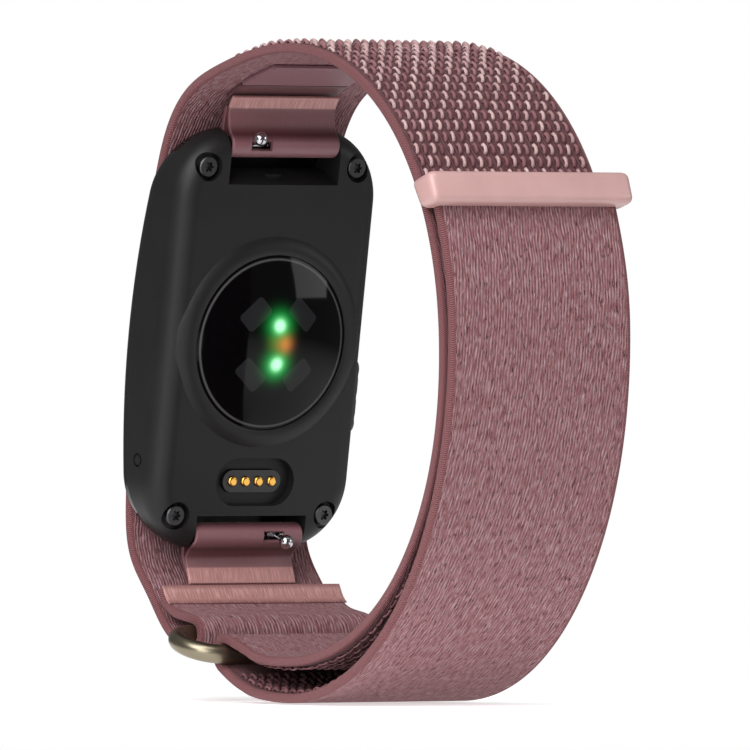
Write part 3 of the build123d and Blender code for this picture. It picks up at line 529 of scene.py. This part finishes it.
def strapCourse():
    # the strap's middle line: sewn end, over the front, crown, palm side, round the ring, tail
    half = strap["thickness"] / mm / 2
    low, high, bar = lines["lowerBar"], lines["upperBar"], lines["barRadius"]
    reach, away = lines["frontReach"], heading(lines["release"])
    lean = math.degrees(math.atan2(reach, case["frontRadius"] / mm)) - case["tilt"]
    leanHigh = math.radians(lean + 2 * case["tilt"])
    frontUp = (math.sin(leanHigh), math.cos(leanHigh))
    frontLow = (-math.sin(math.radians(lean)), math.cos(math.radians(lean)))
    sewn = smoothThrough([*lines["sewnEnd"], (low[0], low[1] + bar)], *lines["sewnWays"])
    sewn += roundPeg(low, bar, lines["onBar"], lines["release"] + 2)
    sewn += smoothThrough([onPeg(low, bar, lines["release"]), *lines["frontFoot"], frontSpot(-reach)],
                          (-away[0], -away[1]), frontLow)
    front = [frontSpot(up) for up in np.linspace(-reach, reach, 90)]
    crown = smoothThrough([frontSpot(reach), *lines["crownRise"], lines["crown"]], frontUp, (1, 0))
    under = squareOval(lines["palm"], 90, -90, 361)
    heel = smoothThrough([(lines["crown"][0], -lines["crown"][1]), lines["heel"]], (-1, 0), lines["heelWay"])
    turn = smoothThrough([*lines["turnIn"], onPeg(high, bar, lines["turnFrom"])],
                         lines["heelWay"], heading(lines["turnFrom"]))
    turn += roundPeg(high, bar, lines["turnFrom"] + 3, lines["turnTo"] - 3)
    turn += smoothThrough([onPeg(high, bar, lines["turnTo"]), lines["turnOut"]],
                          heading(lines["turnTo"]), lines["turnWay"])
    back = lines["tail"]
    tail = smoothThrough([*lines["tailIn"], (back["middle"][0], back["middle"][1] - back["drop"])],
                         lines["tailWay"], (1, 0))
    tail += squareOval(back, -89.5, 0, 300)
    rise = squareOval(back, 0, lines["tailRise"], 3)
    top, bottom = lines["capTop"], lines["capBottom"]
    slope = (top[0] - bottom[0], top[1] - bottom[1])
    endUp = (top[1] + bottom[1]) / 2 + lines["capDepth"]
    last = (rise[2][0] + slope[0] / slope[1] * (endUp - rise[2][1]), endUp)
    tail += smoothThrough([*rise, last], (0, 1), slope)
    inner = sewn + front[1:] + crown[1:] + under[1:] + heel[1:]
    return measured(shifted(inner, half) + shifted(turn, -half) + shifted(tail, -half)), measured(crown)


strapLine, crownLine = strapCourse()
print("strap is", round(strapLine["length"] / mm), "mm long")


def spotsOf(obj):
    spots = np.empty(len(obj.data.vertices) * 3)
    obj.data.vertices.foreach_get("co", spots)
    return spots.reshape(-1, 3)


def putSpots(obj, spots):
    obj.data.vertices.foreach_set("co", spots.ravel())
    obj.data.update()


def layOn(obj, line):  # flat Y becomes the way along the line, flat Z the way out to its left
    flat, step = spotsOf(obj), 0.15 * mm

    def lineAt(run):
        return np.array([np.interp(run, line["run"], line["spots"][:, i]) for i in (0, 1)]).T

    way = lineAt(flat[:, 1] + step) - lineAt(flat[:, 1] - step)
    way /= np.linalg.norm(way, axis=1)[:, None]
    on = lineAt(flat[:, 1])
    over = flat[:, 1] - np.clip(flat[:, 1], 0, line["length"])  # past the line's ends it runs on straight
    y = on[:, 0] + way[:, 0] * over - way[:, 1] * flat[:, 2]
    z = on[:, 1] + way[:, 1] * over + way[:, 0] * flat[:, 2]
    putSpots(obj, np.c_[flat[:, 0], y, z])


def selectOnly(obj):
    bpy.ops.object.select_all(action="DESELECT")
    obj.select_set(True)
    bpy.context.view_layer.objects.active = obj


def applyModifier(obj, kind, **settings):
    selectOnly(obj)
    modifier = obj.modifiers.new(kind.lower(), kind)
    for key, value in settings.items():
        setattr(modifier, key, value)
    bpy.ops.object.modifier_apply(modifier=modifier.name)


def repeatBy(obj, count, step):
    applyModifier(obj, "ARRAY", count=count, use_relative_offset=False, use_constant_offset=True,
                  constant_offset_displace=step)


def editOnly(obj, kind, parts, wanted):  # edit mode with only the wanted edges or faces selected
    selectOnly(obj)
    bpy.ops.object.mode_set(mode="EDIT")
    bpy.ops.mesh.select_mode(type=kind)
    bpy.ops.mesh.select_all(action="DESELECT")
    bpy.ops.object.mode_set(mode="OBJECT")
    parts.foreach_set("select", wanted)
    bpy.ops.object.mode_set(mode="EDIT")


def closeUp(obj, sharpest):  # faces outwards, smooth except over edges sharper than this many degrees
    selectOnly(obj)
    bpy.ops.object.mode_set(mode="EDIT")
    bpy.ops.mesh.select_all(action="SELECT")
    bpy.ops.mesh.normals_make_consistent(inside=False)
    bpy.ops.object.mode_set(mode="OBJECT")
    bpy.ops.object.shade_smooth_by_angle(angle=math.radians(sharpest))


def cutStrip(name, line, start, end, width, low, high, row, columns, roundEnds=False, slot=None):
    # cut flat from a grid, thickened from low to high, and laid along the line from start to end
    bpy.ops.object.select_all(action="DESELECT")
    rows = max(4, round((end - start) / row))
    bpy.ops.mesh.primitive_grid_add(x_subdivisions=columns, y_subdivisions=rows, size=1,
                                    location=(0, 0, 0), calc_uvs=True)
    strip = bpy.context.object
    strip.name = name
    spots = spotsOf(strip)
    flat = np.c_[spots[:, 0] * width, (spots[:, 1] + 0.5) * (end - start) + start, 0 * spots[:, 2] + low]
    putSpots(strip, flat)
    if slot is not None:  # a hole for a knob: left, right, from, to
        faces = strip.data.polygons
        editOnly(strip, "FACE", faces, [bool(slot[0] < face.center.x < slot[1]
                                             and slot[2] < face.center.y < slot[3]) for face in faces])
        bpy.ops.mesh.delete(type="FACE")
        bpy.ops.object.mode_set(mode="OBJECT")
    applyModifier(strip, "SOLIDIFY", thickness=high - low, offset=1)
    spots, rim, near = spotsOf(strip), width / 2 - 1e-6, 1e-7

    def isRounded(a, b):
        if abs(a[2] - b[2]) > near:
            return False
        along = min(abs(a[0]), abs(b[0])) > rim
        across = abs(a[1] - b[1]) < near and min(abs(a[1] - start), abs(a[1] - end)) < 1e-6
        return bool(along or (roundEnds and across))

    edges = strip.data.edges
    editOnly(strip, "EDGE", edges, [isRounded(*spots[list(edge.vertices)]) for edge in edges])
    bpy.ops.mesh.bevel(offset=0.3 * (high - low), segments=3, affect="EDGES")
    bpy.ops.object.mode_set(mode="OBJECT")
    flat = spotsOf(strip)
    uvs = np.c_[flat[:, 0] * (1 + 2 * (high - flat[:, 2]) / width), flat[:, 1]]
    facing = strip.data.attributes.new("outside", "FLOAT", "POINT")
    facing.data.foreach_set("value", (flat[:, 2] > (low + high) / 2).astype(np.float32))
    corners = np.empty(len(strip.data.loops), int)
    strip.data.loops.foreach_get("vertex_index", corners)
    strip.data.uv_layers[0].name = "UVMap"
    strip.data.uv_layers[0].data.foreach_set("uv", uvs[corners].ravel())
    layOn(strip, line)
    closeUp(strip, 50)
    return strip


def dress(obj, material, body=None):
    obj.data.materials.clear()
    obj.data.materials.append(material)
    if body:
        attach(obj, body)
    return obj


# Y and Z where the pile starts and the strap's three stretches meet, Y where each blend starts and ends
seams = {"pile": (-16.0 * mm, 31.9 * mm), "heel": (-2.0 * mm, -33.66 * mm), "turn": (-18.37 * mm, -33.0 * mm),
         "ringSide": -4 * mm, "ringFirm": -14 * mm, "tailFirm": -15 * mm, "tailFree": -10 * mm}


def weaveStrap():
    weave["pileFrom"] = alongAt(strapLine, *seams["pile"])
    cloth = wovenStrap()
    half = strap["thickness"] / 2
    heelAt, turnAt = alongAt(strapLine, *seams["heel"]), alongAt(strapLine, *seams["turn"])
    ends = [0, heelAt, turnAt, strapLine["length"]]
    made = {}
    for name, start, end in zip(("strapLoop", "strapHeel", "strapTail"), ends, ends[1:]):
        made[name] = cutStrip(name, strapLine, start, end, strap["width"], -half, half,
                              strap["row"], strap["columns"])
        dress(made[name], cloth)
    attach(made["strapLoop"], "band")
    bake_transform(made["strapHeel"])
    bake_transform(made["strapTail"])
    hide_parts("strap_loop")
    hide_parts("strap_tail", "strap_turn")
    print("strap woven")
    return heelAt, turnAt


pile = {
    "columns": 20, "across": 1.12 * mm, "along": 1.64 * mm, "yarn": 0.24 * mm, "loop": 0.42 * mm,
    "tall": {"open": 0.62 * mm, "pressed": 0.34 * mm, "inner": 0.5 * mm}, "stretch": 1.16, "sunk": 0.03 * mm,
    # middle value and spread of the loops' lean and turn, least and most height, how far each one strays
    "lean": (0.2, 0.08), "turn": (0.12, 0.08), "height": (0.82, 1.12), "stray": 0.04 * mm,
    # the two yarn tones and their spread; the pressed and inner values darken covered loops as painted shadow
    "shades": (0.34, 0.85), "shadeSpread": 0.1, "pressedShadowDim": 0.4, "innerShadowDim": 0.35,
    # Y and Z of the cap's edge and of the last loops by the ring, then the inner loops' way past the turn
    "underCap": (22.9 * mm, 17.0 * mm), "byRing": (-11.0 * mm, -33.2 * mm),
    "innerFrom": 4.6 * mm, "innerTo": 28 * mm,
}


def yarnLoop(tall):  # half a ring of yarn, standing along the strap
    bpy.ops.object.select_all(action="DESELECT")
    bpy.ops.mesh.primitive_torus_add(major_segments=14, minor_segments=5, major_radius=pile["loop"],
                                     minor_radius=pile["yarn"], rotation=(0, math.pi / 2, 0))
    loop = bpy.context.object
    bpy.ops.object.transform_apply(location=False, rotation=True, scale=False)
    bpy.ops.object.mode_set(mode="EDIT")
    bpy.ops.mesh.select_all(action="SELECT")
    bpy.ops.mesh.bisect(plane_co=(0, 0, 0), plane_no=(0, 0, 1), clear_inner=True)
    bpy.ops.mesh.select_all(action="SELECT")
    bpy.ops.transform.resize(value=(1.0, pile["stretch"], (tall - 0.1 * mm) / (pile["loop"] + pile["yarn"])))
    bpy.ops.object.mode_set(mode="OBJECT")
    return loop


def growPile(name, start, end, tall, seed, shadowDim=1.0):  # one loop repeated, each bent its own way, then laid; the last argument darkens the loops as painted shadow
    loop = yarnLoop(tall)
    loop.name = name
    rows = round((end - start) / pile["along"])
    corners = len(loop.data.vertices)
    repeatBy(loop, pile["columns"], (pile["across"], 0, 0))
    repeatBy(loop, rows, (0, pile["along"], 0))
    spots = spotsOf(loop).reshape(-1, corners, 3)
    count = len(spots)
    column, rowNumber = np.tile(np.arange(pile["columns"]), rows), np.repeat(np.arange(rows), pile["columns"])
    draw = np.random.default_rng(seed)
    middle = np.c_[column * pile["across"], rowNumber * pile["along"], np.zeros(count)][:, None, :]
    shape = spots - middle
    lean = draw.normal(*pile["lean"], count)[:, None]
    stretchUp = draw.uniform(*pile["height"], count)[:, None]
    turn = draw.normal(*pile["turn"], count)[:, None]
    shape[:, :, 2] *= stretchUp
    shape[:, :, 0] += lean * shape[:, :, 2] + turn * shape[:, :, 1]
    place = middle - [(pile["columns"] - 1) * pile["across"] / 2, 0, 0]
    place[:, :, 0] += draw.normal(0, pile["stray"], count)[:, None]
    place[:, :, 1] += (start + 0.5 * pile["along"] + draw.normal(0, pile["stray"], count))[:, None]
    place[:, :, 2] += strap["thickness"] / 2 - pile["sunk"]
    putSpots(loop, (shape + place).reshape(-1, 3))
    plain = np.where((column + rowNumber) % 2, *pile["shades"])
    # the last argument's darkening is painted shadow
    shade = shadowDim * np.clip(plain + draw.normal(0, pile["shadeSpread"], count), 0, 1)
    attribute = loop.data.attributes.new("shade", "FLOAT", "POINT")
    attribute.data.foreach_set("value", np.repeat(shade, corners).astype(np.float32))
    layOn(loop, strapLine)
    selectOnly(loop)
    bpy.ops.object.shade_smooth()
    return loop


def plantPile(heelAt, turnAt):
    yarn, tall, shadowDim = pileYarn(), pile["tall"], pile["pressedShadowDim"]
    underCap, byRing = alongAt(strapLine, *pile["underCap"]), alongAt(strapLine, *pile["byRing"])
    outer = growPile("pileOpen", weave["pileFrom"], underCap, tall["open"], 11)
    # the covered loops, those by the ring and those on the tail's inner side are darkened as painted shadow
    covered = growPile("pileCovered", underCap, heelAt - 0.2 * mm, tall["pressed"], 12, shadowDim)
    heel = growPile("pileHeel", heelAt, byRing, tall["pressed"], 13, shadowDim)
    inner = growPile("pileInner", turnAt + pile["innerFrom"], turnAt + pile["innerTo"], tall["inner"], 14,
                     pile["innerShadowDim"])
    for loops, body in ((outer, "band"), (covered, "band"), (heel, None), (inner, None)):
        dress(loops, yarn, body)
    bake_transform(heel)
    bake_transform(inner)
    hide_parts("loop_pile")
    print("pile planted")


tape = {
    "width": 14.2 * mm, "thickness": 0.45 * mm, "round": 1.42, "row": 0.14 * mm, "columns": 71,
    "slotHalf": 0.62 * mm, "slotFrom": 4.8 * mm, "slotTo": 1.9 * mm, "touch": 50,
    # the outer face's way on to the bar and off it, in millimetres inward and up the tracker
    "upperIn": [(-0.85, 27.35), (-1.45, 26.1), (-1.4, 24.8), (-1.15, 23.9)],
    "upperOut": [(-2.9, 24.4), (-2.6, 26.2)],
    "lowerIn": [(-0.4, -27.3), (-1.3, -25.6), (-1.7, -24.6), (-1.15, -23.8)],
    "lowerOut": [(-2.85, -24.6), (-2.1, -25.9), (-1.15, -27.0)],
    # how far along each face its colours change, in millimetres, and where its satin stretch stops; the
    # valley colours are painted shade on each side of the bar and the ridge colour is a painted highlight on
    # the bulge over it
    "upperFace": ((0, "satin"), (1.35, "satin"), (1.5, "upperSeam"), (3.0, "mauve"), (4.5, "valleyShade"),
                  (5.6, "ridgeHighlight"), (7.0, "ridgeHighlight"), (9.0, "valleyShade"), (15.0, "mauve")),
    "lowerFace": ((0, "satin"), (1.8, "satin"), (1.95, "lowerSeam"), (2.9, "mauve"), (4.4, "valleyShade"),
                  (5.6, "ridgeHighlight"), (7.0, "ridgeHighlight"), (9.0, "valleyShade"), (15.0, "mauve")),
    "upperSatin": 1.4, "lowerSatin": 1.85,
    # the pale satin colour is partly the satin's own tone and partly a painted highlight on the tape's folded
    # end
    "colours": {"satin": (184, 134, 130), "mauve": (104, 64, 69), "valleyShade": (60, 24, 29),
                "ridgeHighlight": (118, 78, 84), "upperSeam": (112, 74, 78), "lowerSeam": (126, 88, 92)},
}
# strips above the upper ribbon: Z where each starts and ends on the crown, colour; the foot strip's dark
# colour is painted shade
patches = {"shadedPatchFoot": (28.95 * mm, 30.25 * mm, (80, 46, 51)),
           "ribbonPatch": (30.33 * mm, 32.1 * mm, (118, 82, 90))}
patch = {"low": -0.53 * mm, "high": -0.03 * mm, "row": 0.3 * mm, "columns": 36}
fold = {"from": -0.1 * mm, "to": 2.8 * mm, "wider": 0.04 * mm, "low": 0.01 * mm, "high": 0.2 * mm,
        # the fold's colours, pale in the middle and darker at both ends, are partly the satin's own tone and
        # partly a painted highlight over the fold with painted shade at its ends
        "face": [(0, (140, 96, 94)), (0.6, (184, 140, 135)), (1.9, (176, 130, 125)), (2.8, (132, 90, 90))]}


def casePoints(points):
    return [tuple(v / mm for v in onCase(inward * mm, up * mm)) for inward, up in points]


def tapeLine(side, wayIn, wayOut):  # over the bar from the tracker's inward side; side is 1 up, -1 down
    middle = (case["barIn"] / mm, side * case["barUp"] / mm)
    touch = tape["touch"] * side
    slope = (side * math.sin(math.radians(touch)), -side * math.cos(math.radians(touch)))
    start = (wayIn[1][0] - wayIn[0][0], wayIn[1][1] - wayIn[0][1])
    end = (wayOut[-1][0] - wayOut[-2][0], wayOut[-1][1] - wayOut[-2][1])
    line = smoothThrough([*wayIn, onPeg(middle, tape["round"], touch)], start, slope)
    line += roundPeg(middle, tape["round"], touch - side * 3, -side * 177, 60)
    line += smoothThrough([onPeg(middle, tape["round"], -side * 180), *wayOut], (0, side), end)
    return measured(casePoints(line))


def wrapRibbons():
    for key, side in (("upper", 1), ("lower", -1)):
        line = tapeLine(side, tape[key + "In"], tape[key + "Out"])
        stops = [(place, tape["colours"][colour]) for place, colour in tape[key + "Face"]]
        (y, z), = casePoints([(tape["round"] + case["barIn"] / mm, side * case["barUp"] / mm)])
        at = alongAt(line, y * mm, z * mm)
        ends = sorted((side * tape["slotFrom"], side * tape["slotTo"]))
        low, high = (-tape["thickness"], 0) if side > 0 else (0, tape["thickness"])
        made = cutStrip(key + "Tape", line, 0, line["length"], tape["width"], low, high, tape["row"],
                        tape["columns"], True, (*ends, at - tape["slotHalf"], at + tape["slotHalf"]))
        dress(made, satinRibbon(key + "Tape", stops, tape[key + "Satin"]), "band")
        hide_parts(key + "_ribbon")
    for name, (low, high, colour) in patches.items():
        start, end = (np.interp(z, crownLine["spots"][:, 1], crownLine["run"]) for z in (low, high))
        made = cutStrip(name, crownLine, start, end, tape["width"], patch["low"], patch["high"],
                        patch["row"], patch["columns"], True)
        dress(made, satinRibbon(name, [(0, colour), (60, colour)], 0, 0.1), "band")
    half = strap["thickness"] / 2
    made = cutStrip("satinFold", strapLine, fold["from"], fold["to"], strap["width"] + fold["wider"],
                    half + fold["low"], half + fold["high"], 0.2 * mm, 48, True)
    dress(made, satinRibbon("satinFold", fold["face"], 3, 0.5), "band")
    print("ribbons wrapped")


cap = {"half": 13.3 * mm, "corner": 0.85 * mm, "sharpest": 35,
       # Y, Z in millimetres of the corners; the key says whether it is the outer side, and the top
       "section": {(True, True): (25.5, 20.1), (True, False): (26.7, 16.6),
                   (False, False): (23.5, 15.7), (False, True): (21.6, 18.8)}}


def mouldCap(rose):
    bpy.ops.object.select_all(action="DESELECT")
    bpy.ops.mesh.primitive_cube_add(size=2)
    block = bpy.context.object
    block.name = "capShell"
    spots = spotsOf(block)
    for spot in spots:
        y, z = cap["section"][bool(spot[1] > 0), bool(spot[2] > 0)]
        spot[:] = (cap["half"] * spot[0], y * mm, z * mm)
    putSpots(block, spots)
    applyModifier(block, "BEVEL", width=cap["corner"], segments=5, limit_method="NONE")
    closeUp(block, cap["sharpest"])
    dress(block, rose, "tail")
    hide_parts("end_cap")
    print("cap moulded")


hooks = {"length": 9 * mm, "fromEnd": 3.4 * mm, "margin": 2 * mm, "backing": 0.14 * mm, "tall": 0.26 * mm,
         "pitch": 0.6 * mm, "foot": 0.11 * mm, "tip": 0.06 * mm, "lean": 0.5}


def plantHooks():  # rows of small hooks on a backing strip, on the side of the tail's end that meets the pile
    start = strapLine["length"] - hooks["fromEnd"] - hooks["length"]
    width = strap["width"] - 2 * hooks["margin"]
    half = strap["thickness"] / 2
    bpy.ops.object.select_all(action="DESELECT")
    bpy.ops.mesh.primitive_cone_add(vertices=4, radius1=hooks["foot"], radius2=hooks["tip"],
                                    depth=hooks["tall"])
    stem = bpy.context.object
    stem.name = "hookPatch"
    columns, rows = int(width / hooks["pitch"]), int(hooks["length"] / hooks["pitch"])
    repeatBy(stem, columns, (hooks["pitch"], 0, 0))
    repeatBy(stem, rows, (0, hooks["pitch"], 0))
    spots = spotsOf(stem)
    spots[:, 1] += hooks["lean"] * np.clip(spots[:, 2], 0, None)
    spots += [-(columns - 1) * hooks["pitch"] / 2, start + hooks["pitch"] / 2,
              half + hooks["backing"] + hooks["tall"] / 2]
    putSpots(stem, spots)
    layOn(stem, strapLine)
    backing = cutStrip("hookBacking", strapLine, start, start + hooks["length"], width, half + 0.005 * mm,
                       half + hooks["backing"] + 0.02 * mm, 0.5 * mm, 20)
    hookPlastic = mouldedPlastic("hookPlastic", paint(84, 52, 56), 0.5)
    dress(stem, hookPlastic, "tail")
    dress(backing, hookPlastic, "tail")
    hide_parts("hook_patch")
    print("hooks planted")


# the floor fades away between two distances from its middle, and glows a little; metres
ground = {"under": 0.2 * mm, "radius": 0.3, "fade": (0.06, 0.2), "glow": 0.55}


def layFloor():
    floorAt = cadBox[0].z - ground["under"]
    bpy.ops.object.select_all(action="DESELECT")
    bpy.ops.mesh.primitive_circle_add(vertices=96, radius=ground["radius"], fill_type="NGON",
                                      location=(0, 0, floorAt))
    floor = bpy.context.object
    floor.name = "paleFloor"
    bpy.ops.object.transform_apply(location=True, rotation=False, scale=False)
    material, tree, shader = startMaterial("paleFloorPaint", 0.8, {
        "Emission Color": (1, 1, 1, 1), "Emission Strength": ground["glow"]})
    away = addNode(tree, "VectorMath", {0: objectPlace(tree), 1: (0, 0, -floorAt)}, operation="ADD")
    far = addNode(tree, "VectorMath", {0: away.outputs["Vector"]}, operation="LENGTH").outputs["Value"]
    soft = noiseAt(tree, objectPlace(tree), 60)
    plug(tree, shader, mixPaint(tree, soft, paint(250, 250, 250), paint(253, 253, 253)))
    tree.links.new(ease(tree, far, *ground["fade"], 1, 0), shader.inputs["Alpha"])
    floor.data.materials.append(material)
    print("floor laid")


setCamera()
hangLights()
layFloor()
roseCap = dressHardParts()
heelAt, turnAt = weaveStrap()
plantPile(heelAt, turnAt)
wrapRibbons()
plantHooks()
mouldCap(roseCap)
